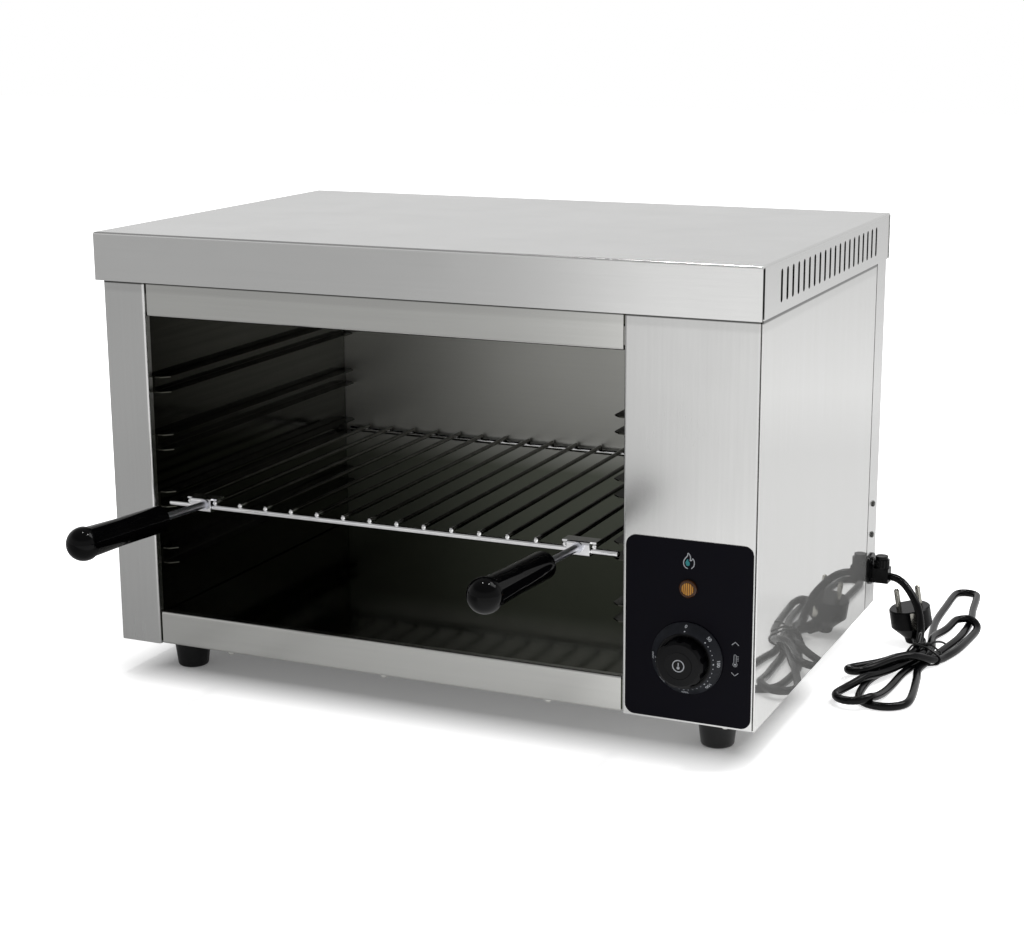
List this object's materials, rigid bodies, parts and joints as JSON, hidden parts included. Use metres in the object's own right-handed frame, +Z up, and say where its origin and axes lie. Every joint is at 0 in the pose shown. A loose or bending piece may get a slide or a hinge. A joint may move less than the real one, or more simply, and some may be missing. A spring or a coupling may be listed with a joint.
{
  "type": "cheese melter",
  "caption": "Counter-top cheese melter: open-fronted electric top-heat grill with a sliding wire rack, two front handles and a thermostat dial",
  "frame": {"origin": "on the table under the middle of the whole at rest, the grips included and the cord left out", "axes": "+X to the right as seen from the open front, +Y from the open front to the rear panel, +Z up"},
  "size_m": [0.6658, 0.6978, 0.3892],
  "materials": {
    "casing_steel": "brushed stainless sheet with a fine straight grain",
    "oven_steel": "bright-rolled stainless sheet, mirror-like, slightly warped",
    "rack_chrome": "bright chrome-plated steel wire",
    "handle_rod_steel": "drawn steel rod, satin",
    "grip_plastic": "gloss black thermoset plastic",
    "control_film": "near-black printed film on a plate, satin",
    "lamp_amber": "amber moulded lens with a hammered face",
    "white_plastic": "off-white moulded plastic",
    "dial_plastic": "dark satin moulded plastic",
    "dial_cap_plastic": "dark printed cap",
    "copper_tube": "drawn copper tube",
    "heater_sheath": "heat-tinted steel sheath",
    "terminal_brass": "plain brass",
    "mineral_wool": "mineral-wool board",
    "wire_silicone": "silicone-insulated wire",
    "gland_plastic": "black moulded plastic",
    "foot_rubber": "black moulded rubber",
    "screw_zinc": "zinc-plated steel",
    "screw_dark": "dark-plated steel",
    "cord_rubber": "black rubber-sheathed cord",
    "plug_rubber": "black moulded rubber plug",
    "pin_nickel": "nickel-plated brass"
  },
  "bodies": {
    "casing": {"lid": "casing_steel", "left_side": "casing_steel", "right_side": "casing_steel", "control_fascia": "casing_steel", "rear_panel": "casing_steel", "base_pan": "casing_steel", "top_rail": "casing_steel", "bottom_rail": "casing_steel", "control_plate": "control_film", "lamp_lens": "lamp_amber", "lamp_holder": "white_plastic", "thermostat_body": "white_plastic", "thermostat_bulb": "copper_tube", "thermostat_screws": "screw_zinc", "liner_left": "oven_steel", "liner_right": "oven_steel", "liner_back": "oven_steel", "liner_floor": "oven_steel", "liner_ceiling": "oven_steel", "rack_rail_left_1": "oven_steel", "rack_rail_left_2": "oven_steel", "rack_rail_left_3": "oven_steel", "rack_rail_left_4": "oven_steel", "rack_rail_right_1": "oven_steel", "rack_rail_right_2": "oven_steel", "rack_rail_right_3": "oven_steel", "rack_rail_right_4": "oven_steel", "heater_front": "heater_sheath", "heater_rear": "heater_sheath", "heater_hangers": "oven_steel", "heater_terminals": "terminal_brass", "insulation_top": "mineral_wool", "insulation_back": "mineral_wool", "insulation_left": "mineral_wool", "terminal_block": "white_plastic", "wiring": "wire_silicone", "earth_stud": "terminal_brass", "gland_body": "gland_plastic", "gland_nut": "gland_plastic", "gland_clamp": "gland_plastic", "feet": "foot_rubber", "foot_screws": "screw_zinc", "base_screws": "screw_zinc", "panel_screws": "screw_dark", "cord_lead": "cord_rubber", "cord_hank": "cord_rubber", "plug_body": "plug_rubber", "plug_contacts": "pin_nickel"},
    "rack": {"rack_front_bar": "rack_chrome", "rack_back_bar": "rack_chrome", "rack_rods": "rack_chrome", "handle_bracket_left": "rack_chrome", "handle_bracket_right": "rack_chrome", "handle_rod_left": "handle_rod_steel", "handle_rod_right": "handle_rod_steel", "grip_left": "grip_plastic", "grip_right": "grip_plastic"},
    "dial": {"dial_knob": "dial_plastic", "dial_cap": "dial_cap_plastic", "thermostat_shaft": "screw_zinc"}
  },
  "joints": [
    {"name": "rack_slide", "type": "slide", "parent": "casing", "child": "rack", "axis": [0, -1, 0], "range_m": [0, 0.24]},
    {"name": "dial_turn", "type": "hinge", "parent": "casing", "child": "dial", "pos_m": [0.23465, -0.09868, 0.0844], "axis": [0, -1, 0], "range_deg": [0, 270]}
  ]
}
